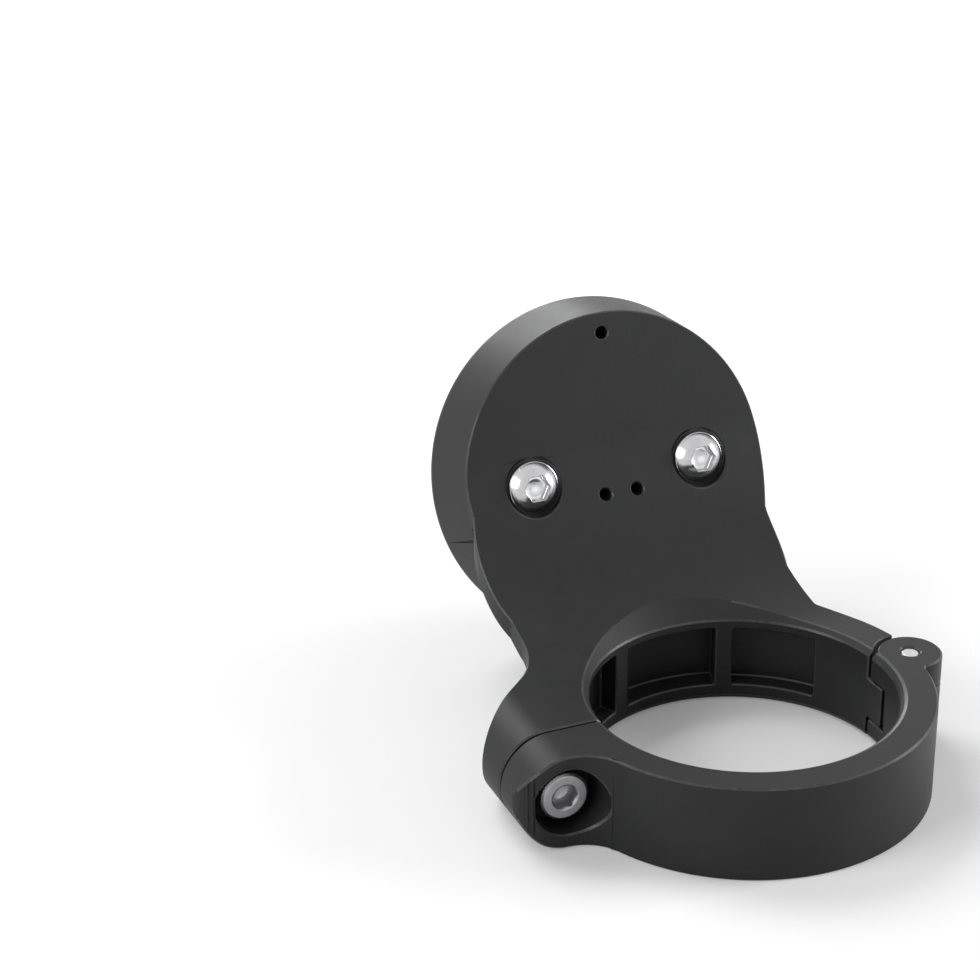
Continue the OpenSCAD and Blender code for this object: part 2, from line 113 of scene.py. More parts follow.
class Solid:
    """A closed solid that is shaped in millimetres, as one Blender object.

    Args:
        obj: The mesh object that holds the shape.
    """

    def __init__(self, obj: bpy.types.Object) -> None:
        """Takes over a mesh object."""
        self.obj = obj

    @classmethod
    def prism(cls, outline: Outline, low: float, high: float, place: Matrix = Matrix()) -> "Solid":
        """Extrudes a flat outline straight up.

        Args:
            outline: Corners in the local X-Y plane, in order.
            low: Height of the lower face.
            high: Height of the upper face.
            place: Where the local frame stands.

        Returns:
            The closed prism.
        """
        clear_selection()
        bpy.ops.mesh.primitive_circle_add(vertices=len(outline), radius=1, fill_type="NGON")
        solid = cls(bpy.context.object)
        for vertex, corner in zip(solid.obj.data.vertices, outline):
            vertex.co = (corner[0], corner[1], low)
        solid.edit()
        bpy.ops.mesh.extrude_region_move(TRANSFORM_OT_translate={"value": (0, 0, high - low)})
        return solid.close(place)

    @classmethod
    def turned(cls, profile: Outline, place: Matrix = Matrix(), steps: int = 192) -> "Solid":
        """Spins a profile once round the local Z axis.

        Args:
            profile: Points as (radius, height), in order; where it meets the axis, it starts and ends there.
            place: Where the local frame stands.
            steps: Number of facets round the axis.

        Returns:
            The closed solid.
        """
        clear_selection()
        bpy.ops.mesh.primitive_circle_add(vertices=len(profile), radius=1, fill_type="NOTHING")
        solid = cls(bpy.context.object)
        for vertex, point in zip(solid.obj.data.vertices, profile):
            vertex.co = (point[0], 0, point[1])
        if profile[0][0] == 0:
            solid.edit(select=False)
            bpy.ops.object.mode_set(mode="OBJECT")
            ends = {0, len(profile) - 1}
            for edge in solid.obj.data.edges:
                edge.select = set(edge.vertices) == ends
            bpy.ops.object.mode_set(mode="EDIT")
            bpy.ops.mesh.select_mode(type="EDGE")
            bpy.ops.mesh.delete(type="EDGE")
            bpy.ops.mesh.select_mode(type="VERT")
        solid.edit()
        bpy.ops.mesh.spin(steps=steps, angle=math.tau, center=(0, 0, 0), axis=(0, 0, 1), use_auto_merge=True)
        return solid.close(place)

    @classmethod
    def rod(cls, around: int, rows: int, shape: Callable[[int, float], Sequence[float]], place: Matrix = Matrix()) -> "Solid":
        """Cuts a plain rod into rows and moves every point of them to a given shape.

        Args:
            around: Points round the rod.
            rows: Rows along it.
            shape: Gives the place of a point from its number round the rod and its share of the length.
            place: Where the local frame stands.

        Returns:
            The closed solid.
        """
        clear_selection()
        bpy.ops.mesh.primitive_cylinder_add(vertices=around, radius=1, depth=1, location=(0, 0, 0.5), end_fill_type="NGON")
        bpy.ops.object.transform_apply(location=True)
        solid = cls(bpy.context.object)
        solid.edit()
        for row in range(1, rows):
            bpy.ops.mesh.select_all(action="SELECT")
            bpy.ops.mesh.bisect(plane_co=(0, 0, row / rows), plane_no=(0, 0, 1))
        bpy.ops.object.mode_set(mode="OBJECT")
        for vertex in solid.obj.data.vertices:
            number = round(math.atan2(vertex.co.x, vertex.co.y) / math.tau * around) % around
            vertex.co = shape(number, vertex.co.z)
        return solid.close(place)

    @classmethod
    def block(cls, low: Sequence[float], high: Sequence[float], place: Matrix = Matrix()) -> "Solid":
        """A square-edged block between two corners, used as a cutting tool."""
        corners = [(low[0], low[1]), (high[0], low[1]), (high[0], high[1]), (low[0], high[1])]
        return cls.prism(corners, low[2], high[2], place)

    @classmethod
    def drill(cls, radius: float, low: float, high: float, place: Matrix = Matrix(), steps: int = 96) -> "Solid":
        """A round cutting tool along the local Z axis."""
        return cls.prism(arc((0, 0), radius, 0, 360 - 360 / steps, steps - 1), low, high, place)

    @classmethod
    def thread(cls, core: float, crest: float, length: float, pitch: float, place: Matrix = Matrix()) -> "Solid":
        """A threaded rod from the local origin upwards, with run-outs at both ends.

        Args:
            core: Radius at the root of the thread.
            crest: Radius at its crest.
            length: Length of the rod.
            pitch: Rise of one turn.
            place: Where the local frame stands.

        Returns:
            The threaded rod.
        """
        around, rows = 36, round(length / pitch * 8)

        def shape(number: int, share: float) -> Sequence[float]:
            """Puts a point on the helical flank."""
            height = share * length
            wave = abs((height / pitch - number / around) % 1 - 0.5) * 2
            flank = max(0.0, min(1.0, 1.25 * wave - 0.125))
            fade = min(1.0, height / pitch, (length - height) / pitch)
            radius = core + (crest - core) * flank * fade
            angle = math.tau * number / around
            return radius * math.cos(angle), radius * math.sin(angle), height

        return cls.rod(around, rows, shape, place)

    def edit(self, select: bool = True) -> None:
        """Opens the solid alone in edit mode, with all of it selected or none."""
        clear_selection()
        bpy.context.view_layer.objects.active = self.obj
        self.obj.select_set(True)
        bpy.ops.object.mode_set(mode="EDIT")
        bpy.ops.mesh.select_all(action="SELECT" if select else "DESELECT")

    def close(self, place: Matrix) -> "Solid":
        """Merges doubles, turns the faces outwards and brings the mesh to its place."""
        self.edit()
        bpy.ops.mesh.remove_doubles(threshold=1e-4)
        bpy.ops.mesh.normals_make_consistent(inside=False)
        bpy.ops.object.mode_set(mode="OBJECT")
        self.obj.data.transform(place)
        return self

    def apply(self, name: str) -> None:
        """Applies one modifier."""
        clear_selection()
        bpy.context.view_layer.objects.active = self.obj
        self.obj.select_set(True)
        bpy.ops.object.modifier_apply(modifier=name)

    def combine(self, operation: Operation, *tools: "Solid") -> "Solid":
        """Joins, cuts or trims the solid with others, which are used up.

        Args:
            operation: What the others do to this solid.
            tools: The other solids.

        Returns:
            This solid.
        """
        for tool in tools:
            modifier = self.obj.modifiers.new("combine", "BOOLEAN")
            modifier.solver = "MANIFOLD"
            modifier.operation = operation.value
            modifier.object = tool.obj
            self.apply(modifier.name)
            bpy.data.objects.remove(tool.obj)
        return self

    def join(self, *tools: "Solid") -> "Solid":
        """Adds other solids to this one."""
        return self.combine(Operation.JOIN, *tools)

    def cut(self, *tools: "Solid") -> "Solid":
        """Cuts other solids out of this one."""
        return self.combine(Operation.CUT, *tools)

    def keep(self, *tools: "Solid") -> "Solid":
        """Keeps only what lies inside the other solids."""
        return self.combine(Operation.KEEP, *tools)

    def dress(self, face: bpy.types.Material, edge: bpy.types.Material) -> "Solid":
        """Gives the faces one finish and the edges that are rounded next another."""
        self.obj.data.materials.clear()
        self.obj.data.materials.append(face)
        self.obj.data.materials.append(edge)
        return self

    def soften(self, width: float, angle: float = 32, merge: float = 0.02, segments: int = 1) -> "Solid":
        """Cleans the mesh and rounds its sharp edges.

        Args:
            width: Width of the rounding.
            angle: Least angle in degrees between two faces whose edge is rounded.
            merge: Points closer than this become one.
            segments: Number of facets across the rounding.

        Returns:
            This solid.
        """
        self.edit()
        bpy.ops.mesh.remove_doubles(threshold=merge)
        bpy.ops.mesh.dissolve_degenerate(threshold=merge / 2)
        bpy.ops.mesh.dissolve_limited(angle_limit=math.radians(0.01))
        bpy.ops.object.mode_set(mode="OBJECT")
        modifier = self.obj.modifiers.new("soften", "BEVEL")
        modifier.width = width
        modifier.segments = segments
        modifier.limit_method = "ANGLE"
        modifier.angle_limit = math.radians(angle)
        modifier.use_clamp_overlap = False
        # The rounding faces take the last material, the edge finish, which carries a painted highlight.
        modifier.material = len(self.obj.data.materials) - 1
        modifier.miter_outer = "MITER_ARC"
        self.apply(modifier.name)
        return self

    def finish(self, name: str, material: bpy.types.Material | None = None, smooth: float = 14) -> bpy.types.Object:
        """Names the finished piece, brings it to metres, smooths its shading and gives it its material.

        Args:
            name: Name of the piece.
            material: Its finish, unless it is dressed already.
            smooth: Greatest angle in degrees that is shaded as one surface.

        Returns:
            The finished Blender object.
        """
        self.edit()
        bpy.ops.mesh.remove_doubles(threshold=2e-4)
        bpy.ops.mesh.quads_convert_to_tris(quad_method="BEAUTY", ngon_method="BEAUTY")
        bpy.ops.object.mode_set(mode="OBJECT")
        self.obj.data.transform(Matrix.Scale(MM, 4))
        self.obj.name = name
        self.obj.data.name = name
        if material:
            self.obj.data.materials.clear()
            self.obj.data.materials.append(material)
        bpy.ops.object.shade_smooth_by_angle(angle=math.radians(smooth))
        modifier = self.obj.modifiers.new("even", "WEIGHTED_NORMAL")
        modifier.keep_sharp = True
        self.apply(modifier.name)
        triangles = len(self.obj.data.polygons)
        log.info("%s: %d triangles", name, triangles)
        return self.obj


@dataclass(frozen=True)
class Layout:
    """Sizes in millimetres and degrees that more than one sub-assembly is set out from."""

    bore_r: float = 16.5
    ring_w: float = 10.8
    ring_r: float = 20.5
    half_seam: float = 0.15
    lip_h: float = 2.0
    pin_x: float = 20.5
    pin_hole_r: float = 1.05
    lug_r: float = 3.5
    lug_h: float = 2.5
    knuckle_z: float = 2.65
    knuckle_h: float = 4.7
    upper_lug_z: float = 7.5
    lug_reach: float = 1.4
    screw_x: float = 22.8
    head_seat: float = 1.6
    thread_pitch: float = 0.5
    puck_y: float = 41.0
    puck_z: float = 20.2
    tilt: float = 15.5
    puck_t: float = 9.3
    plate_t: float = 5.5
    plate_r: float = 17.3
    floor_depth: float = 3.5
    bolt_spacing: float = 20.9
    bolt_head_d: float = 6.0
    bolt_head_h: float = 2.0
    insert_r: float = 2.6
    insert_top: float = -3.2

    @property
    def mid_z(self) -> float:
        """Height of the ring's middle."""
        return self.ring_w / 2

    @property
    def ear_end(self) -> float:
        """Distance from the bore axis to the end of the ears."""
        return self.screw_x + self.mid_z

    @property
    def socket(self) -> Matrix:
        """The socket's frame: Z out of it, Y up the housing, X to the right seen from the front."""
        return shift(0, self.puck_y, self.puck_z) @ turn(-90 - self.tilt, "X") @ turn(180, "Z")

    @property
    def screw(self) -> Matrix:
        """The clamp screw's frame: Z towards its tip, with the origin under its head."""
        return shift(-self.screw_x, -self.head_seat, self.mid_z) @ turn(-90, "X")

    def fastener(self, side: Side) -> Matrix:
        """The frame of one plate fastener: Z out of the socket, with the origin in the plane of its front."""
        return self.socket @ shift(side.value * self.bolt_spacing / 2, 0, 0)

    def bore(self) -> Solid:
        """The bore with its lead-in chamfers, the upper one opening out where the body rises."""
        chamfer, wide = 0.6, 2.4
        return Solid.turned([(0, -1), (self.bore_r + chamfer + 1, -1), (self.bore_r, chamfer),
                             (self.bore_r, self.ring_w - chamfer), (self.bore_r + wide, self.ring_w - chamfer + wide),
                             (0, self.ring_w - chamfer + wide)])

    def bore_pocket(self, start: float, end: float, depth: float, low: float, high: float) -> Solid:
        """A curved pocket in the bore between two angles."""
        outline = arc((0, 0), self.bore_r - 1, start, end, 64) + arc((0, 0), self.bore_r + depth, end, start, 64)
        return Solid.prism(outline, low, high)

    def pin_hole(self) -> Solid:
        """The hole that the hinge pin turns in."""
        return Solid.drill(self.pin_hole_r, -1, self.ring_w + 2, shift(self.pin_x, 0, 0), 64)

    def ear_limits(self) -> Solid:
        """The ears' section across the screw: a half-round end, and open above inside it."""
        outline = arc((-self.screw_x, self.mid_z), self.mid_z, 90, 270, 96)
        outline += [(FAR, 0), (FAR, FAR), (-self.screw_x, FAR)]
        return Solid.prism(outline, -FAR, FAR, turn(90, "X"))


@dataclass(frozen=True)
class BackSurface:
    """The back of the body in the Y-Z plane: flat on the ring, two arcs up the neck, straight up the housing.

    Args:
        layout: Shared sizes.
        low_r: Radius where the surface leaves the ring.
        high_r: Radius where it meets the housing.
        split: Angle at which the two radii meet.
    """

    layout: Layout
    low_r: float = 30.0
    high_r: float = 20.0
    split: float = 30.0

    @property
    def centres(self) -> tuple[Point, Point]:
        """Middles of the lower and the upper arc."""
        size, rad = self.layout, math.radians
        tilt, split, end = rad(size.tilt), rad(self.split), rad(90 - size.tilt)
        end_z = (size.ring_w + self.low_r * (1 - math.cos(split)) + self.high_r * (math.cos(split) - math.cos(end)))
        back_y = size.puck_y - size.puck_t * math.cos(tilt)
        back_z = size.puck_z + size.puck_t * math.sin(tilt)
        start_y = (back_y + (end_z - back_z) * math.tan(tilt) - self.low_r * math.sin(split)
                   - self.high_r * (math.sin(end) - math.sin(split)))
        low = (start_y, size.ring_w + self.low_r)
        gap = self.low_r - self.high_r
        return low, (low[0] + gap * math.sin(split), low[1] - gap * math.cos(split))

    def height(self, y: float) -> float:
        """Height of the surface at a distance from the bore axis."""
        low, high = self.centres
        if y < low[0]:
            return self.layout.ring_w
        if y < low[0] + self.low_r * math.sin(math.radians(self.split)):
            return low[1] - math.sqrt(self.low_r ** 2 - (y - low[0]) ** 2)
        return high[1] - math.sqrt(max(0.0, self.high_r ** 2 - (y - high[0]) ** 2))

    def front(self, depth: float = 0.0) -> Solid:
        """Everything in front of the surface, at a depth inside the material."""
        size = self.layout
        low, high = self.centres
        tilt = math.radians(size.tilt)
        curve = arc(low, self.low_r + depth, -90, -90 + self.split, 40)
        curve += arc(high, self.high_r + depth, -90 + self.split, -size.tilt, 56)[1:]
        top = (curve[-1][0] + FAR * math.sin(tilt), curve[-1][1] + FAR * math.cos(tilt))
        outline = [(-FAR, size.ring_w - depth)] + curve + [top, (2 * FAR, FAR), (2 * FAR, -FAR), (-FAR, -FAR)]
        return Solid.prism(outline, -FAR, FAR, turn(90, "Z") @ turn(90, "X"))


@dataclass
class MountBody:
    """The moulded body: half of the clamp ring, the neck, the screw's ear, the knuckle and the socket's housing.

    Args:
        layout: Shared sizes.
        finish: Material of the moulding.
        edge: Material of its edges, which carries a painted highlight.
    """

    layout: Layout
    finish: bpy.types.Material
    edge: bpy.types.Material
    extra_wall: float = 0.6
    seat_r: float = 3.95
    pocket_depth: float = 2.2
    neck_half: float = 17.3
    neck_top_half: float = 18.1
    neck_shift: float = 1.0
    throat_h: float = 4.4
    sheet_t: float = 2.3
    groove_lip: float = 2.6
    ear_floor: float = 6.4
    ear_corner: float = 4.8
    ear_slope: float = 42.0
    ear_fillet: float = 7.5
    puck_r: float = 19.8
    back_r: float = 18.6
    rim_bevel: float = 1.0
    rim_drop: float = 1.2
    cup_r: float = 17.65
    vent_r: float = 0.75
    back: BackSurface = field(init=False)

    def __post_init__(self) -> None:
        """Sets out the back surface."""
        self.back = BackSurface(self.layout)

    def ring(self) -> Solid:
        """The body half of the ring, tall enough to meet the back surface."""
        size = self.layout
        r, chamfer = size.ring_r + self.extra_wall, 0.3
        return Solid.turned([(size.bore_r - 1, 0), (r - chamfer, 0), (r, chamfer), (r, size.ring_w + 3),
                             (size.bore_r - 1, size.ring_w + 3)])

    def neck(self) -> Solid:
        """The neck: rounded sections across Y that grow from nearly square at the ring to elliptical at the housing."""
        size, rise = self.layout, 0.3
        start = size.ring_r - rise
        back_y = size.puck_y - size.puck_t * math.cos(math.radians(size.tilt))
        throat = back_y - self.back_r * math.sin(math.radians(size.tilt)) - 0.2
        first, final = size.bore_r - 8, throat + 4
        around, spare = 112, 7

        def shape(number: int, share: float) -> Sequence[float]:
            """Puts a point on its section: a rounded front below, and a roof that the back surface trims."""
            y = first + (final - first) * share
            ease = 1 - (1 - max(0.0, min(1.0, (y - start) / (throat - start)))) ** 2.6
            half = self.neck_half + (self.neck_top_half - self.neck_half) * ease - 0.05 * max(0.0, y - throat) ** 2
            if number > around - 1 - spare:
                across = (number - (around - spare)) / (spare - 1)
                return half - self.neck_shift - 2 * half * across, y, FAR
            top = self.back.height(y) - self.sheet_t
            low = self.throat_h - 0.435 * (y - throat) if y > throat else rise + (self.throat_h - rise) * ease
            angle = math.pi * number / (around - 1 - spare)
            bulge = 4 - 1.6 * ease if angle < math.pi / 2 else 2.3 - 0.4 * ease
            cos, sin = math.cos(angle), math.sin(angle)
            x = -self.neck_shift - half * math.copysign(abs(cos) ** (2 / bulge), cos)
            return x, y, top - (top - low) * abs(sin) ** (2 / bulge)

        flare, drop = self.back_r + 0.9, 12
        outline = [(-FAR, -FAR), (FAR, -FAR), (FAR, -drop), (flare, -drop)] + arc((0, 0), self.back_r, 0, 180, 120)
        outline += [(-flare, -drop), (-FAR, -drop)]
        return Solid.rod(around, 48, shape).keep(Solid.prism(outline, -FAR, FAR, size.socket))

    def housing(self) -> Solid:
        """The round housing of the socket, with its bevelled rim."""
        back = -self.layout.puck_t
        return Solid.turned([(0, back - 4), (self.back_r - 0.3, back - 4), (self.back_r, back + 0.3),
                             (self.puck_r, -self.rim_drop - 0.6), (self.puck_r - 0.05, -self.rim_drop),
                             (self.puck_r - self.rim_bevel, 0), (0, 0)], self.layout.socket, 240)

    def ear(self) -> Solid:
        """The screw's ear: a front lip and a back sheet with a fillet up to the neck."""
        size, slope = self.layout, math.radians(self.ear_slope)
        normal = (-math.sin(slope), math.cos(slope))
        tip = (-size.ear_end, self.ear_corner)
        x = -self.neck_half - self.neck_shift - self.ear_fillet
        fillet = (x, tip[1] + (self.ear_fillet - (x - tip[0]) * normal[0]) / normal[1])
        sheet = [(-size.ear_end, size.half_seam), (-size.bore_r / 2, size.half_seam), (-size.bore_r / 2, fillet[1] + 1),
                 (-self.neck_half, fillet[1] + 1)] + arc(fillet, self.ear_fillet, 0, -90 + self.ear_slope, 32) + [tip]
        run = 12.6
        lip = [(-size.ear_end, size.half_seam), (-size.bore_r / 2, size.half_seam), (-size.bore_r / 2, size.ring_r - 3),
               (-run, size.ring_r - 3), (tip[0] + run * math.cos(slope), tip[1] + run * math.sin(slope)), tip]
        top = Solid.prism(sheet, size.ring_w - self.sheet_t, size.ring_w + 3)
        return Solid.prism(lip, 0, size.ring_w).join(top).keep(size.ear_limits())

    def groove(self) -> Solid:
        """The groove between the front shell and the back sheet, from the screw's pocket up into the housing."""
        size = self.layout

        def beyond(point: Sequence[float], plan: float, lean: float) -> Solid:
            """Everything on the screw's side of an upright plane, turned in plan and leaning."""
            return Solid.block((-FAR, -FAR, -FAR), (0, FAR, FAR), shift(*point) @ turn(plan, "Z") @ turn(lean, "Y"))

        start = 1.8 - size.ear_end
        cavity = beyond((-13.2, 19.4, 10), 0, 22).keep(beyond((-14.9, 15.7, 8.4), -33, 22), beyond((-14.8, 23.6, 12), 19.5, -9))
        cavity.soften(1.4, 12, segments=5)
        cavity.keep(Solid.block((start, self.ear_floor, self.groove_lip), (FAR, FAR, FAR)),
                    Solid.block((-FAR, -FAR, -FAR), (FAR, FAR, -size.plate_t - 0.5), size.socket))
        pocket = Solid.block((start, self.ear_floor, self.groove_lip), (start + size.mid_z + 0.5, self.ear_floor + 6, FAR))
        return cavity.join(pocket).keep(self.back.front(self.sheet_t))

    def hinge_seat(self) -> list[Solid]:
        """Room for the strap's lugs, above and below the knuckle."""
        size, tools = self.layout, []
        for low, high in ((-1, size.knuckle_z), (size.upper_lug_z - 0.15, FAR)):
            place = shift(size.pin_x, 0, 0)
            tools += [Solid.drill(self.seat_r, low, high, place),
                      Solid.block((size.bore_r - 2, -1, low), (size.pin_x, size.lug_reach + 0.45, high)),
                      Solid.block((size.pin_x, -1, low), (FAR, size.lug_r, high))]
        return tools

    def knuckle(self) -> Solid:
        """The knuckle that turns between the strap's lugs."""
        size = self.layout
        low, high = size.knuckle_z, size.knuckle_z + size.knuckle_h
        root = Solid.drill(size.ring_r, low, high, steps=192)
        root.keep(Solid.block((size.bore_r - 1, -1, low - 1), (size.bore_r + 4, size.lug_r + 2, high + 1)))
        eye = Solid.drill(size.lug_r, low, high, shift(size.pin_x, 0, 0))
        return eye.join(root).cut(Solid.drill(size.bore_r, low - 1, high + 1, steps=192))

    def socket_cuts(self) -> list[Solid]:
        """The cup for the plate, the bolts' holes and seats, and the small holes in the back."""
        size, place = self.layout, self.layout.socket
        tools = [Solid.turned([(0, -size.plate_t), (self.cup_r, -size.plate_t), (self.cup_r, -0.15),
                               (self.cup_r + 0.3, 0.15), (self.cup_r + 0.3, 6), (0, 6)], place, 240)]
        for side in Side:
            hole = size.fastener(side)
            tools += [Solid.drill(1.65, -size.puck_t - 4, 1, hole, 48),
                      Solid.drill(size.bolt_head_d / 2 + 0.4, -size.puck_t - 4, -size.puck_t, hole)]
        for x, y in ((0, 16.2), (-2, -2.2), (2, -2.2)):
            tools.append(Solid.drill(self.vent_r, -FAR, 0, place @ shift(x, y, 0), 32))
        return tools

    def screw_hole(self) -> Solid:
        """The threaded hole of the clamp screw, open at the seam and in the pocket's floor."""
        size = self.layout
        place = shift(-size.screw_x, -0.4, size.mid_z) @ turn(-90, "X")
        return Solid.thread(1.5, 1.74, self.ear_floor + 1.4, size.thread_pitch, place)

    def build(self) -> bpy.types.Object:
        """Shapes the moulding and puts it in the place of the frame's body."""
        size = self.layout
        solid = self.ring().join(self.neck(), self.housing(), self.ear())
        solid.keep(self.back.front(), Solid.block((-FAR, size.half_seam, -FAR), (FAR, FAR, FAR)))
        solid.cut(size.bore(), *self.hinge_seat())
        solid.join(self.knuckle())
        high = size.ring_w - size.lip_h + 0.4
        solid.cut(size.pin_hole(), self.groove(),
                  size.bore_pocket(33, 66, self.pocket_depth, size.lip_h, high),
                  size.bore_pocket(72.5, 112, self.pocket_depth + 0.6, size.lip_h, high),
                  size.bore_pocket(119, 148, self.pocket_depth, size.lip_h, high), *self.socket_cuts())
        solid.dress(self.finish, self.edge).soften(0.16)
        solid.cut(self.screw_hole())
        piece = solid.finish("moulded_body")
        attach(piece, "mount")
        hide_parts("body")
        return piece


@dataclass
class HingedStrap:
    """The strap half of the clamp: a half ring with a smooth pocket, two hinge lugs and the screw head's ear.

    Args:
        layout: Shared sizes.
        finish: Material of the moulding.
        edge: Material of its edges.
        smooth_finish: Material of the pocket in the bore.
    """

    layout: Layout
    # edge: Material of its edges, which carries a painted highlight.
    finish: bpy.types.Material
    edge: bpy.types.Material
    smooth_finish: bpy.types.Material
    ear: float = 5.7
    corner: float = 3.0
    fillet: float = 5.0
    slot_r: float = 4.6
    pocket_depth: float = 0.9
    recess_r: float = 3.8
    clearance_r: float = 1.75

    def ring(self) -> Solid:
        """The strap's part of the ring."""
        size = self.layout
        ring = Solid.turned([(size.bore_r - 1, 0), (size.ring_r, 0), (size.ring_r, size.ring_w), (size.bore_r - 1, size.ring_w)])
        half = Solid.block((-FAR, -FAR, -1), (FAR, -size.half_seam, size.ring_w + 1))
        tongue = Solid.block((size.bore_r / 2, -size.half_seam - 1, -1), (FAR, size.lug_reach, size.ring_w + 1))
        return ring.keep(half.join(tongue))

    def ear_block(self) -> Solid:
        """The ear for the screw's head, with its fillet into the ring."""
        size = self.layout
        y = -self.ear - self.fillet
        x = -math.sqrt((size.ring_r + self.fillet) ** 2 - y * y)
        touch = math.degrees(math.atan2(y, x)) + 180
        outline = [(-size.ear_end, -size.half_seam)]
        outline += arc((self.corner - size.ear_end, self.corner - self.ear), self.corner, 180, 270, 24)
        outline += arc((x, y), self.fillet, 90, touch, 32)
        outline += [(-size.bore_r * 0.8, -size.ring_r * 0.5), (-size.bore_r, -size.half_seam)]
        return Solid.prism(outline, 0, size.ring_w).keep(size.ear_limits())

    def lower_fill(self) -> Solid:
        """The lower lug's fill into the outside of the ring."""
        size = self.layout
        lug, ring = math.radians(-62), math.radians(-21)
        outline = [(size.pin_x, 0.0), ((size.bore_r + 1) * math.cos(ring), (size.bore_r + 1) * math.sin(ring)),
                   ((size.ring_r - 0.05) * math.cos(ring), (size.ring_r - 0.05) * math.sin(ring)),
                   (size.pin_x + size.lug_r * math.cos(lug), size.lug_r * math.sin(lug))]
        return Solid.prism(outline, 0, size.lug_h)

    def build(self) -> bpy.types.Object:
        """Shapes the strap and puts it in the place of the frame's strap."""
        size = self.layout
        place = shift(size.pin_x, 0, 0)
        lugs = Solid.drill(size.lug_r, 0, size.ring_w, place)
        solid = self.ring().join(self.ear_block(), lugs, self.lower_fill())
        solid.cut(size.bore(), size.pin_hole(), Solid.drill(self.slot_r, size.lug_h, size.upper_lug_z, place),
                  size.bore_pocket(-140, -31, self.pocket_depth, size.lip_h, size.ring_w - size.lip_h),
                  Solid.drill(self.clearance_r, -4, 10, size.screw, 64),
                  Solid.drill(self.recess_r, -20, 0, size.screw))
        solid.dress(self.finish, self.edge).soften(0.2)
        piece = solid.finish("hinged_strap")
        piece.data.materials.append(self.smooth_finish)
        floor = (size.bore_r + self.pocket_depth) * MM
        for face in piece.data.polygons:
            middle = face.center
            if abs(math.hypot(middle.x, middle.y) - floor) < 0.05 * MM and size.lip_h < middle.z / MM < size.ring_w - size.lip_h:
                face.material_index = 2
        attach(piece, "strap")
        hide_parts("clamp_strap")
        return piece


@dataclass
class SocketPlate:
    """The quarter-turn plate: a lip with two entry notches, an undercut, and a floor with two flexible tongues.

    Args:
        layout: Shared sizes.
        finish: Material of the plate.
        edge: Material of its edges, which carries a painted highlight.
    """

    layout: Layout
    finish: bpy.types.Material
    edge: bpy.types.Material
    mouth_r: float = 13.05
    notch_r: float = 16.2
    notch_w: float = 11.6
    lip_t: float = 1.7
    slot_x: float = 6.6
    slot_w: float = 1.5
    slot_y: float = 2.8
    slot_end: float = 11.8
    hole_r: float = 1.45
    wedge_h: float = 1.7
    wedge_from: float = 6.2
    wedge_to: float = 11.8

    def dish(self) -> Solid:
        """The plate turned in one piece, with its mouth and undercut."""
        size, edge = self.layout, 0.25
        return Solid.turned([(0, -size.plate_t + 0.1), (size.plate_r - edge, -size.plate_t + 0.1),
                             (size.plate_r, -size.plate_t + 0.1 + edge), (size.plate_r, -edge), (size.plate_r - edge, 0),
                             (self.mouth_r + edge, 0), (self.mouth_r, -edge), (self.mouth_r, -self.lip_t),
                             (self.notch_r + 0.1, -self.lip_t), (self.notch_r + 0.1, -size.floor_depth),
                             (0, -size.floor_depth)], size.socket, 240)

    def notches(self) -> Solid:
        """The two entries in the lip, across the socket."""
        half = math.degrees(math.asin(self.notch_w / 2 / self.notch_r))
        outline = arc((0, 0), self.notch_r, -half, half, 32) + arc((0, 0), self.notch_r, 180 - half, 180 + half, 32)
        return Solid.prism(outline, -self.layout.floor_depth + 0.8, 5, self.layout.socket)

    def wedge(self, angle: float) -> Solid:
        """One detent wedge on its tongue, rising outwards."""
        size = self.layout
        outline = [(-0.7, self.wedge_from), (0.7, self.wedge_from), (1.5, self.wedge_to), (-1.5, self.wedge_to)]
        solid = Solid.prism(outline, -0.5, self.wedge_h)
        for vertex in solid.obj.data.vertices:
            if vertex.co.z > 0 and vertex.co.y < self.wedge_from + 0.1:
                vertex.co.z = self.wedge_h * 0.45
        return solid.close(size.socket @ turn(angle, "Z") @ shift(0, 0, -size.floor_depth))

    def build(self) -> bpy.types.Object:
        """Shapes the plate and puts it in the place of the frame's plate."""
        size, place = self.layout, self.layout.socket
        solid = self.dish().cut(self.notches()).join(self.wedge(0), self.wedge(180))
        solid.cut(Solid.drill(self.hole_r, -FAR, FAR, place, 64))
        for side in Side:
            solid.cut(Solid.drill(size.insert_r, -FAR, FAR, size.fastener(side), 64))
            for low, high in ((self.slot_y, self.slot_end), (-self.slot_end, -self.slot_y)):
                outline = slot_outline(side.value * self.slot_x, low, high, self.slot_w)
                solid.cut(Solid.prism(outline, -FAR, -self.lip_t - 0.1, place))
        solid.dress(self.finish, self.edge).soften(0.11)
        piece = solid.finish("socket_plate")
        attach(piece, "mount")
        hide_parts("quarter_turn_plate")
        return piece


@dataclass
class HingePin:
    """The turned steel pin of the hinge, with rounded ends that show on both faces of the ring.

    Args:
        layout: Shared sizes.
        finish: Material of the pin.
    """

    layout: Layout
    finish: bpy.types.Material
    radius: float = 1.0
    inset: float = 0.15

    def build(self) -> bpy.types.Object:
        """Turns the pin and puts it in the place of the frame's pin."""
        size, edge = self.layout, 0.22
        low, high, r = self.inset, self.layout.ring_w - self.inset, self.radius
        profile = [(0, low)] + [(r - edge + edge * math.sin(a), low + edge - edge * math.cos(a)) for a in (0, 0.5, 1.0, math.pi / 2)]
        profile += [(r - edge + edge * math.cos(a), high - edge + edge * math.sin(a)) for a in (0, 0.5, 1.0, math.pi / 2)]
        solid = Solid.turned(profile + [(0, high)], shift(size.pin_x, 0, 0), 64)
        piece = solid.finish("hinge_pin_turned", self.finish)
        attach(piece, "mount")
        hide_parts("hinge_pin")
        return piece


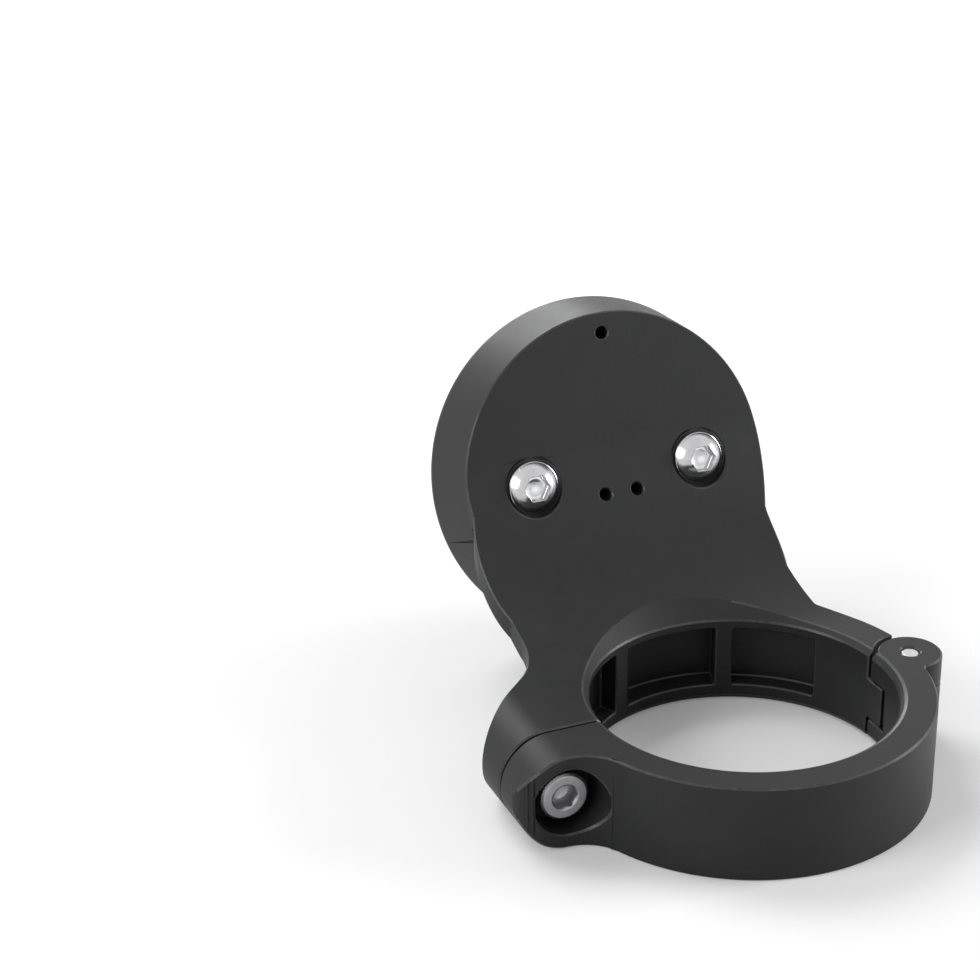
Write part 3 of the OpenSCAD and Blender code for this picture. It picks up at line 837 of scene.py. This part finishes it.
@dataclass
class ClampScrew:
    """The socket-head cap screw that closes the clamp: a knurled head, a hexagon socket and a real thread.

    Args:
        layout: Shared sizes.
        finish: Material of the screw.
    """

    layout: Layout
    finish: bpy.types.Material
    head_r: float = 2.75
    head_h: float = 3.0
    length: float = 6.0
    core_r: float = 1.2
    crest_r: float = 1.45
    socket_af: float = 2.5
    socket_depth: float = 1.6
    knurls: int = 40

    def head(self) -> Solid:
        """The head, knurled round its side and chamfered above and below."""
        outline = [((self.head_r - 0.09 * (i % 2)) * math.cos(math.pi * i / self.knurls),
                    (self.head_r - 0.09 * (i % 2)) * math.sin(math.pi * i / self.knurls)) for i in range(2 * self.knurls)]
        edge = 0.35
        turned = Solid.turned([(0, -self.head_h), (self.head_r - edge, -self.head_h), (self.head_r + 0.02, -self.head_h + edge),
                               (self.head_r + 0.02, -0.15), (self.head_r - 0.15, 0), (0, 0)], steps=96)
        socket_r = self.socket_af / 2 / math.cos(math.pi / 6)
        hexagon = arc((0, 0), socket_r, 0, 300, 5)
        lead = Solid.turned([(0, -self.head_h - 0.2), (socket_r + 0.25, -self.head_h - 0.2),
                             (socket_r - 0.22, -self.head_h + 0.27), (0, -self.head_h + 0.27)], steps=64)
        cone = Solid.turned([(0, -self.head_h + self.socket_depth - 0.1), (self.socket_af / 2 - 0.02, -self.head_h + self.socket_depth - 0.1),
                             (0, -self.head_h + self.socket_depth + 0.45)], steps=64)
        head = Solid.prism(outline, -self.head_h - 1, 1).keep(turned)
        return head.cut(Solid.prism(hexagon, -self.head_h - 1, -self.head_h + self.socket_depth), lead, cone)

    def build(self) -> bpy.types.Object:
        """Shapes the screw and puts it in the place of the frame's screw."""
        thread = Solid.thread(self.core_r, self.crest_r, self.length + 0.5, self.layout.thread_pitch, shift(0, 0, -0.5))
        solid = self.head().join(thread)
        solid.obj.data.transform(self.layout.screw)
        solid.soften(0.045, 40, merge=0.004)
        piece = solid.finish("cap_screw", self.finish)
        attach(piece, "screw")
        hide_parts("clamp_screw")
        return piece


@dataclass
class PlateFastener:
    """One of the two plate fasteners: a button-head bolt from the back and the threaded insert that it holds in.

    Args:
        layout: Shared sizes.
        side: Which of the two it is.
        bolt_finish: Material of the bolt.
        insert_finish: Material of the insert.
    """

    layout: Layout
    side: Side
    bolt_finish: bpy.types.Material
    insert_finish: bpy.types.Material
    core_r: float = 1.22
    crest_r: float = 1.44
    tip_depth: float = 1.6
    rim: float = 0.4
    socket_af: float = 2.8
    socket_depth: float = 1.3

    def bolt(self) -> bpy.types.Object:
        """The bolt: a domed head with a hexagon socket, and a threaded shank."""
        size = self.layout
        half, dome = size.bolt_head_d / 2 - 0.1, size.bolt_head_h - self.rim
        radius = (half ** 2 + dome ** 2) / (2 * dome)
        sweep = math.degrees(math.asin(half / radius))
        profile = [(0, 0), (half, 0), (half + 0.1, -0.08), (half + 0.1, -self.rim + 0.06)]
        profile += arc((0, -size.bolt_head_h + radius), radius, -90 + sweep, -90, 16)
        profile[-1] = (0, -size.bolt_head_h)
        socket_r = self.socket_af / 2 / math.cos(math.pi / 6)
        floor = -size.bolt_head_h + self.socket_depth
        lead = Solid.turned([(0, -size.bolt_head_h - 0.2), (socket_r + 0.3, -size.bolt_head_h - 0.2),
                             (socket_r - 0.2, -size.bolt_head_h + 0.3), (0, -size.bolt_head_h + 0.3)], steps=64)
        cone = Solid.turned([(0, floor - 0.1), (self.socket_af / 2 - 0.03, floor - 0.1), (0, floor + 0.3)], steps=64)
        solid = Solid.turned(profile, steps=96).cut(Solid.prism(arc((0, 0), socket_r, 0, 300, 5), -5, floor), lead, cone)
        length = size.puck_t + size.insert_top - self.tip_depth
        solid.join(Solid.thread(self.core_r, self.crest_r, length + 0.4, size.thread_pitch, shift(0, 0, -0.4)))
        solid.obj.data.transform(size.fastener(self.side) @ shift(0, 0, -size.puck_t))
        solid.soften(0.05, 40, merge=0.004)
        piece = solid.finish(f"button_bolt_{self.side.name.lower()}", self.bolt_finish)
        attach(piece, "mount")
        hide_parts(f"plate_bolt_{self.side.name.lower()}")
        return piece

    def insert(self) -> bpy.types.Object:
        """The insert: a chamfered ring with a thread inside."""
        size, low, high = self.layout, -self.layout.plate_t + 0.2, self.layout.insert_top
        outer = Solid.turned([(0, low), (size.insert_r - 0.15, low), (size.insert_r, low + 0.2), (size.insert_r, high - 0.22),
                              (size.insert_r - 0.2, high), (0, high)], steps=96)
        bore = Solid.thread(1.5, 1.72, high - low + 2, size.thread_pitch, shift(0, 0, low - 1))
        lead = Solid.turned([(0, high - 0.3), (1.5, high - 0.3), (1.95, high + 0.15), (0, high + 0.15)], steps=64)
        solid = outer.cut(bore, lead)
        solid.obj.data.transform(size.fastener(self.side))
        solid.soften(0.04, 40, merge=0.004)
        piece = solid.finish(f"threaded_insert_{self.side.name.lower()}", self.insert_finish)
        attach(piece, "mount")
        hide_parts(f"insert_{self.side.name.lower()}")
        return piece

    def build(self) -> list[bpy.types.Object]:
        """Shapes the bolt and the insert."""
        return [self.bolt(), self.insert()]


class Sheet:
    """A node tree that is being wired.

    Args:
        tree: The shader tree or node group.
    """

    def __init__(self, tree: bpy.types.NodeTree) -> None:
        """Takes over a node tree."""
        self.tree = tree

    def add(self, kind: str, **values: object) -> bpy.types.Node:
        """Adds a node.

        Args:
            kind: Blender's type of node.
            values: Its settings.

        Returns:
            The node.
        """
        node = self.tree.nodes.new(kind)
        for name, value in values.items():
            setattr(node, name, value)
        return node

    def wire(self, source: object, target: bpy.types.NodeSocket) -> None:
        """Links an output to an input, or writes a plain value on the input."""
        if isinstance(source, bpy.types.NodeSocket):
            self.tree.links.new(source, target)
        else:
            target.default_value = source

    def math(self, operation: str, first: object, second: object = 0.0, clamp: bool = False) -> bpy.types.NodeSocket:
        """Adds one step of arithmetic and returns its output."""
        node = self.add("ShaderNodeMath", operation=operation, use_clamp=clamp)
        self.wire(first, node.inputs[0])
        self.wire(second, node.inputs[1])
        return node.outputs[0]

    def span(self, value: object, low: float, high: float, to_low: float, to_high: float) -> bpy.types.NodeSocket:
        """Maps a value from one range to another, held at both ends."""
        node = self.add("ShaderNodeMapRange")
        self.wire(value, node.inputs["Value"])
        for name, number in (("From Min", low), ("From Max", high), ("To Min", to_low), ("To Max", to_high)):
            self.wire(number, node.inputs[name])
        return node.outputs["Result"]

    def noise(self, vector: object, scale: object, detail: float = 2.0, roughness: float = 0.5) -> bpy.types.NodeSocket:
        """Adds cloudy noise and returns its value."""
        node = self.add("ShaderNodeTexNoise")
        self.wire(vector, node.inputs["Vector"])
        self.wire(scale, node.inputs["Scale"])
        self.wire(detail, node.inputs["Detail"])
        self.wire(roughness, node.inputs["Roughness"])
        return node.outputs["Fac"]

    def mix(self, share: object, first: object, second: object) -> bpy.types.NodeSocket:
        """Mixes two colours and returns the result."""
        node = self.add("ShaderNodeMix", data_type="RGBA")
        self.wire(share, node.inputs[0])
        self.wire(first, node.inputs[6])
        self.wire(second, node.inputs[7])
        return node.outputs[2]


class Effects:
    """The surface effects that several finishes share, each a node group that is built once."""

    def __init__(self) -> None:
        """Builds the groups."""
        self.grain = self.make_grain()
        self.blotch = self.make_blotch()
        self.highlight_and_wear = self.make_highlight_and_wear()
        self.dust = self.make_dust()
        self.turning = self.make_turning()

    @staticmethod
    def group(name: str, inputs: dict[str, str], outputs: Sequence[str]) -> tuple[Sheet, bpy.types.Node, bpy.types.Node]:
        """Starts a node group.

        Args:
            name: Its name.
            inputs: Name and socket type of each input.
            outputs: Names of its value outputs.

        Returns:
            The sheet to wire, and the group's input and output nodes.
        """
        tree = bpy.data.node_groups.new(name, "ShaderNodeTree")
        for label, kind in inputs.items():
            tree.interface.new_socket(label, in_out="INPUT", socket_type=kind)
        for label in outputs:
            tree.interface.new_socket(label, in_out="OUTPUT", socket_type="NodeSocketFloat")
        sheet = Sheet(tree)
        return sheet, sheet.add("NodeGroupInput"), sheet.add("NodeGroupOutput")

    def make_grain(self) -> bpy.types.NodeTree:
        """The fine pitted grain of a moulding: small pits and shallow swells."""
        sheet, start, end = self.group("moulded_grain", {"Vector": "NodeSocketVector", "Size": "NodeSocketFloat"}, ("Height", "Fleck"))
        cells = sheet.add("ShaderNodeTexVoronoi", feature="F1")
        sheet.wire(start.outputs["Vector"], cells.inputs["Vector"])
        sheet.wire(start.outputs["Size"], cells.inputs["Scale"])
        fine = sheet.noise(start.outputs["Vector"], sheet.math("MULTIPLY", start.outputs["Size"], 2.1), 3.0, 0.6)
        swell = sheet.noise(start.outputs["Vector"], sheet.math("MULTIPLY", start.outputs["Size"], 0.35), 1.0, 0.5)
        pits = sheet.span(cells.outputs["Distance"], 0.05, 0.6, 0.0, 1.0)
        height = sheet.math("ADD", sheet.math("MULTIPLY", pits, 0.45), sheet.math("MULTIPLY", fine, 0.55))
        sheet.wire(sheet.math("ADD", height, sheet.math("MULTIPLY", swell, 0.5)), end.inputs["Height"])
        sheet.wire(sheet.span(fine, 0.35, 0.65, 0.0, 1.0), end.inputs["Fleck"])
        return sheet.tree

    def make_blotch(self) -> bpy.types.NodeTree:
        """Slow changes of tone over a surface, as plastic flow or handling leave."""
        sheet, start, end = self.group("blotch", {"Vector": "NodeSocketVector", "Size": "NodeSocketFloat"}, ("Tone",))
        broad = sheet.noise(start.outputs["Vector"], start.outputs["Size"], 4.0, 0.55)
        sheet.wire(sheet.span(broad, 0.3, 0.7, 0.0, 1.0), end.inputs["Tone"])
        return sheet.tree

    def make_highlight_and_wear(self) -> bpy.types.NodeTree:
        """Broken rubbing along the edges."""
        # Patchy noise that breaks up the painted highlight on the edge faces, so that it reads partly as rubbing.
        sheet, start, end = self.group("edge_highlight_and_wear", {"Vector": "NodeSocketVector", "Size": "NodeSocketFloat"}, ("Mask",))
        broad = sheet.noise(start.outputs["Vector"], start.outputs["Size"], 2.0, 0.5)
        fine = sheet.noise(start.outputs["Vector"], sheet.math("MULTIPLY", start.outputs["Size"], 6.0), 3.0, 0.6)
        rub = sheet.span(sheet.math("ADD", broad, fine), 0.7, 1.25, 0.0, 1.0)
        sheet.wire(rub, end.inputs["Mask"])
        return sheet.tree

    def make_dust(self) -> bpy.types.NodeTree:
        """Fine dust on the faces that look up."""
        sheet, start, end = self.group("dust", {"Vector": "NodeSocketVector"}, ("Mask",))
        geometry = sheet.add("ShaderNodeNewGeometry")
        parts = sheet.add("ShaderNodeSeparateXYZ")
        sheet.wire(geometry.outputs["Normal"], parts.inputs[0])
        up = sheet.span(parts.outputs["Z"], 0.2, 0.95, 0.0, 1.0)
        cloud = sheet.span(sheet.noise(start.outputs["Vector"], 420.0, 5.0, 0.65), 0.35, 0.75, 0.0, 1.0)
        sheet.wire(sheet.math("MULTIPLY", up, cloud, True), end.inputs["Mask"])
        return sheet.tree

    def make_turning(self) -> bpy.types.NodeTree:
        """Fine rings left by the lathe round the local Z axis."""
        sheet, start, end = self.group("turning_marks", {"Vector": "NodeSocketVector", "Rings": "NodeSocketFloat"}, ("Height", "Tone"))
        parts = sheet.add("ShaderNodeSeparateXYZ")
        sheet.wire(start.outputs["Vector"], parts.inputs[0])
        square = sheet.math("ADD", sheet.math("MULTIPLY", parts.outputs["X"], parts.outputs["X"]),
                            sheet.math("MULTIPLY", parts.outputs["Y"], parts.outputs["Y"]))
        radius = sheet.math("SQRT", square)
        place = sheet.add("ShaderNodeCombineXYZ")
        sheet.wire(sheet.math("MULTIPLY", radius, start.outputs["Rings"]), place.inputs["X"])
        sheet.wire(sheet.math("MULTIPLY", parts.outputs["Z"], start.outputs["Rings"]), place.inputs["Y"])
        rings = sheet.noise(place.outputs[0], 1.0, 3.0, 0.6)
        sheet.wire(rings, end.inputs["Height"])
        sheet.wire(sheet.span(rings, 0.35, 0.65, 0.0, 1.0), end.inputs["Tone"])
        return sheet.tree


class Finish:
    """A finish that makes one material from shared effects.

    Args:
        effects: The shared node groups.
    """

    def __init__(self, effects: Effects) -> None:
        """Keeps the shared effects."""
        self.effects = effects

    def start(self, name: str, place: Matrix = Matrix()) -> tuple[bpy.types.Material, Sheet, bpy.types.Node, bpy.types.NodeSocket]:
        """Starts a material.

        Args:
            name: Its name.
            place: The frame, in millimetres, that its pattern is centred on.

        Returns:
            The material, its sheet, its shader and the place of each point for the patterns.
        """
        material = bpy.data.materials.new(name)
        material.use_nodes = True
        sheet = Sheet(material.node_tree)
        shader = material.node_tree.nodes["Principled BSDF"]
        coordinates = sheet.add("ShaderNodeTexCoord")
        centre = sheet.add("ShaderNodeMapping", vector_type="TEXTURE")
        sheet.wire(coordinates.outputs["Object"], centre.inputs["Vector"])
        centre.inputs["Location"].default_value = place.translation * MM
        centre.inputs["Rotation"].default_value = place.to_euler()
        return material, sheet, shader, centre.outputs["Vector"]

    @staticmethod
    def place_group(sheet: Sheet, tree: bpy.types.NodeTree, vector: bpy.types.NodeSocket, **values: float) -> bpy.types.Node:
        """Puts a shared effect in a material with its own values."""
        node = sheet.add("ShaderNodeGroup", node_tree=tree)
        sheet.wire(vector, node.inputs["Vector"])
        for name, value in values.items():
            sheet.wire(value, node.inputs[name])
        return node

    @staticmethod
    def relief(sheet: Sheet, shader: bpy.types.Node, height: object, strength: float, depth: float) -> None:
        """Feeds a height into the shader's normal through a bump."""
        bump = sheet.add("ShaderNodeBump")
        sheet.wire(strength, bump.inputs["Strength"])
        sheet.wire(depth, bump.inputs["Distance"])
        sheet.wire(height, bump.inputs["Height"])
        sheet.wire(bump.outputs["Normal"], shader.inputs["Normal"])


@dataclass(frozen=True)
class Moulding:
    """Dark moulded plastic with a fine grain, a trace of dust and, on a finish for edges, a painted highlight broken up
    like rubbing.

    Args:
        name: Name of the material.
        tone: Main colour, linear.
        lift: Share that the lighter tone adds.
        rough: Least and greatest roughness.
        grain: Cells of the grain per metre.
        depth: Depth of the grain in metres.
        strength: Strength of the grain.
        edge_highlight: Lighter colour painted on a finish for edges as a painted highlight, partly broken up like
            rubbing, linear.
    """

    name: str
    tone: tuple[float, float, float]
    lift: float
    rough: tuple[float, float]
    grain: float
    depth: float
    strength: float
    edge_highlight: tuple[float, float, float] | None = None

    def make(self, effects: Effects) -> bpy.types.Material:
        """Builds the material from the shared effects."""
        finish = Finish(effects)
        material, sheet, shader, vector = finish.start(self.name)
        grain = finish.place_group(sheet, effects.grain, vector, Size=self.grain)
        blotch = finish.place_group(sheet, effects.blotch, vector, Size=95.0)
        dust = finish.place_group(sheet, effects.dust, vector)
        dark = (*self.tone, 1)
        light = (*[channel * (1 + self.lift) for channel in self.tone], 1)
        tone = sheet.mix(blotch.outputs["Tone"], dark, light)
        fleck = (*[channel * (1 + 2.2 * self.lift) for channel in self.tone], 1)
        tone = sheet.mix(sheet.math("MULTIPLY", grain.outputs["Fleck"], 0.5), tone, fleck)
        # On edge finishes the rounded edge faces get a lighter colour as a painted highlight: at least a quarter of it
        # everywhere, more where the patchy noise rises, so it reads partly as rubbing.
        if self.edge_highlight:
            highlight_and_wear = finish.place_group(sheet, effects.highlight_and_wear, vector, Size=260.0)
            tone = sheet.mix(sheet.span(highlight_and_wear.outputs["Mask"], 0.0, 1.0, 0.25, 1.0), tone, (*self.edge_highlight, 1))
        tone = sheet.mix(sheet.math("MULTIPLY", dust.outputs["Mask"], 0.012), tone, (0.33, 0.32, 0.3, 1))
        sheet.wire(tone, shader.inputs["Base Color"])
        rough = sheet.span(sheet.math("ADD", blotch.outputs["Tone"], grain.outputs["Fleck"]), 0.0, 2.0, *self.rough)
        sheet.wire(sheet.math("ADD", rough, sheet.math("MULTIPLY", dust.outputs["Mask"], 0.06)), shader.inputs["Roughness"])
        shader.inputs["IOR"].default_value = 1.5
        shader.inputs["Specular IOR Level"].default_value = 0.26
        finish.relief(sheet, shader, grain.outputs["Height"], self.strength, self.depth)
        return material


@dataclass(frozen=True)
class Steel:
    """Bright steel with lathe marks and slight stains.

    Args:
        name: Name of the material.
        tone: Main colour, linear.
        stain: Colour of the darker stains, linear.
        rough: Least and greatest roughness.
        rings: Lathe marks per metre.
        strength: Strength of the marks.
    """

    name: str
    tone: tuple[float, float, float]
    stain: tuple[float, float, float]
    rough: tuple[float, float]
    rings: float
    strength: float

    def make(self, effects: Effects, place: Matrix) -> bpy.types.Material:
        """Builds the material with its lathe marks round the axis of a place."""
        finish = Finish(effects)
        material, sheet, shader, vector = finish.start(self.name, place)
        marks = finish.place_group(sheet, effects.turning, vector, Rings=self.rings)
        blotch = finish.place_group(sheet, effects.blotch, vector, Size=620.0)
        tone = sheet.mix(sheet.math("MULTIPLY", blotch.outputs["Tone"], 0.7), (*self.tone, 1), (*self.stain, 1))
        sheet.wire(tone, shader.inputs["Base Color"])
        shader.inputs["Metallic"].default_value = 1.0
        rough = sheet.span(sheet.math("ADD", marks.outputs["Tone"], blotch.outputs["Tone"]), 0.0, 2.0, *self.rough)
        sheet.wire(rough, shader.inputs["Roughness"])
        finish.relief(sheet, shader, marks.outputs["Height"], self.strength, 0.00004)
        return material


@dataclass(frozen=True)
class Lamp:
    """One soft studio lamp.

    Args:
        name: Its name.
        place: Its place in metres.
        aim: The point that it looks at.
        width: Side of its square face in metres.
        power: Its power in watts.
    """

    name: str
    place: tuple[float, float, float]
    aim: tuple[float, float, float]
    width: float
    power: float

    def build(self) -> bpy.types.Object:
        """Hangs the lamp."""
        clear_selection()
        bpy.ops.object.light_add(type="AREA", location=self.place)
        lamp = bpy.context.object
        lamp.name = self.name
        lamp.rotation_euler = (Vector(self.aim) - Vector(self.place)).to_track_quat("-Z", "Y").to_euler()
        lamp.data.size = self.width
        lamp.data.energy = self.power
        lamp.visible_camera = False
        return lamp


@dataclass
class Studio:
    """The pale floor, the soft light and the camera at the photograph's viewing angle.

    Args:
        place: The camera's place in millimetres.
        look: The direction that it looks in.
        roll: How far its right side drops, in degrees.
        focal: Focal length in pixels of the square picture.
        picture: Side of the picture in pixels.
    """

    place: tuple[float, float, float] = (-113.88, -204.99, 141.96)
    look: tuple[float, float, float] = (0.34725, 0.83856, -0.4198)
    roll: float = 0.456
    focal: float = 2506.2
    picture: int = 980
    floor_tone: tuple[float, float, float] = (0.86, 0.86, 0.86)
    lamps: tuple[Lamp, ...] = (
        Lamp("left_lamp", (-0.75, -0.05, 0.35), (0, 0.01, 0.02), 0.45, 3.6),
        Lamp("right_lamp", (0.62, -0.2, 0.16), (0, 0.01, 0.02), 0.3, 4.2),
        Lamp("top_lamp", (-0.25, 0.55, 0.7), (0, 0.02, 0.02), 0.5, 3.8),
        Lamp("rim_lamp", (0.12, 0.8, 0.15), (0, 0.02, 0.03), 0.3, 2.2),
        Lamp("front_lamp", (0.3, -0.85, 0.16), (0, 0.02, 0.02), 0.4, 0.25),
    )

    def camera(self) -> bpy.types.Object:
        """Sets up the camera."""
        look = Vector(self.look).normalized()
        level = look.cross(Vector((0, 0, 1))).normalized()
        above = level.cross(look)
        angle = math.radians(-self.roll)
        right = level * math.cos(angle) + above * math.sin(angle)
        up = right.cross(look)
        clear_selection()
        bpy.ops.object.camera_add()
        camera = bpy.context.object
        camera.name = "camera"
        turned = Matrix((right, up, -look)).transposed().to_4x4()
        camera.matrix_world = Matrix.Translation(Vector(self.place) * MM) @ turned
        camera.data.sensor_width = 36.0
        camera.data.lens = self.focal / self.picture * camera.data.sensor_width
        camera.data.clip_start = 0.01
        bpy.context.scene.camera = camera
        return camera

    def floor(self) -> bpy.types.Object:
        """The pale floor, which keeps the object's soft shadow."""
        clear_selection()
        bpy.ops.mesh.primitive_grid_add(x_subdivisions=4, y_subdivisions=4, size=6)
        floor = bpy.context.object
        floor.name = "studio_floor"
        material = bpy.data.materials.new("floor_paper")
        material.use_nodes = True
        sheet = Sheet(material.node_tree)
        shader = material.node_tree.nodes["Principled BSDF"]
        coordinates = sheet.add("ShaderNodeTexCoord")
        cloud = sheet.span(sheet.noise(coordinates.outputs["Object"], 40.0, 3.0), 0.3, 0.7, 0.985, 1.0)
        tint = sheet.add("ShaderNodeCombineColor")
        for channel, value in zip(tint.inputs, self.floor_tone):
            sheet.wire(sheet.math("MULTIPLY", cloud, value), channel)
        sheet.wire(tint.outputs[0], shader.inputs["Base Color"])
        shader.inputs["Roughness"].default_value = 0.9
        shader.inputs["Specular IOR Level"].default_value = 0.1
        shader.inputs["Emission Color"].default_value = (1, 1, 1, 1)
        path = sheet.add("ShaderNodeLightPath")
        distance = sheet.add("ShaderNodeVectorMath", operation="LENGTH")
        sheet.wire(coordinates.outputs["Object"], distance.inputs[0])
        lift = sheet.span(distance.outputs["Value"], 0.05, 0.3, 0.12, 0.7)
        sheet.wire(sheet.math("MULTIPLY", path.outputs["Is Camera Ray"], lift), shader.inputs["Emission Strength"])
        floor.data.materials.append(material)
        return floor

    def surroundings(self) -> None:
        """The world: plain soft light, and white behind the object for the camera, gloss and glass."""
        world = bpy.data.worlds.new("studio_world")
        world.use_nodes = True
        bpy.context.scene.world = world
        sheet = Sheet(world.node_tree)
        path = sheet.add("ShaderNodeLightPath")
        seen = sheet.math("MAXIMUM", path.outputs["Is Camera Ray"], path.outputs["Is Glossy Ray"])
        seen = sheet.math("MAXIMUM", seen, path.outputs["Is Transmission Ray"])
        background = world.node_tree.nodes["Background"]
        background.inputs["Color"].default_value = (1, 1, 1, 1)
        sheet.wire(sheet.span(seen, 0, 1, 0.35, 1.0), background.inputs["Strength"])

    def build(self) -> None:
        """Sets the whole studio."""
        self.camera()
        self.floor()
        self.surroundings()
        for lamp in self.lamps:
            lamp.build()
        bpy.context.scene.view_settings.view_transform = "Standard"


def main() -> None:
    """Builds the studio and each sub-assembly in order, and reports every piece."""
    logging.basicConfig(level=logging.INFO, format="%(name)s: %(message)s")
    Studio().build()
    layout, effects = Layout(), Effects()
    black, grey = (0.0115, 0.0117, 0.012), (0.019, 0.0195, 0.02)
    body = Moulding("moulded_black", black, 0.25, (0.38, 0.5), 5200, 0.00003, 0.3)
    # The edge finishes get a much lighter last colour: a painted highlight on the rounded edges, partly broken up like
    # rubbing.
    body_edge = Moulding("moulded_black_edge", black, 0.25, (0.3, 0.42), 5200, 0.00002, 0.15, (0.06, 0.06, 0.062))
    strap = Moulding("strap_black", black, 0.25, (0.38, 0.5), 5200, 0.00003, 0.3)
    strap_edge = Moulding("strap_black_edge", black, 0.25, (0.3, 0.42), 5200, 0.00002, 0.15, (0.06, 0.06, 0.062))
    smooth = Moulding("strap_smooth", (0.008, 0.0082, 0.0085), 0.1, (0.2, 0.28), 4200, 0.00001, 0.2)
    plate = Moulding("plate_grey", grey, 0.2, (0.34, 0.44), 6000, 0.00002, 0.25)
    # The plate's edge finish likewise carries a painted highlight on its rounded edges.
    plate_edge = Moulding("plate_grey_edge", grey, 0.2, (0.3, 0.4), 6000, 0.00001, 0.15, (0.08, 0.08, 0.082))
    turned = Steel("pin_steel", (0.7, 0.7, 0.71), (0.5, 0.49, 0.48), (0.22, 0.36), 9000, 0.5)
    satin = Steel("screw_steel", (0.42, 0.42, 0.43), (0.3, 0.3, 0.31), (0.3, 0.44), 7000, 0.5)
    bright = Steel("insert_steel", (0.62, 0.61, 0.58), (0.45, 0.43, 0.4), (0.2, 0.34), 9000, 0.5)
    polished = Steel("bolt_steel", (0.62, 0.62, 0.63), (0.48, 0.48, 0.49), (0.12, 0.24), 6000, 0.3)
    MountBody(layout, body.make(effects), body_edge.make(effects)).build()
    HingedStrap(layout, strap.make(effects), strap_edge.make(effects), smooth.make(effects)).build()
    SocketPlate(layout, plate.make(effects), plate_edge.make(effects)).build()
    HingePin(layout, turned.make(effects, shift(layout.pin_x, 0, 0))).build()
    ClampScrew(layout, satin.make(effects, layout.screw)).build()
    for side in Side:
        place = layout.fastener(side)
        PlateFastener(layout, side, polished.make(effects, place), bright.make(effects, place)).build()


if __name__ == "__main__":
    main()
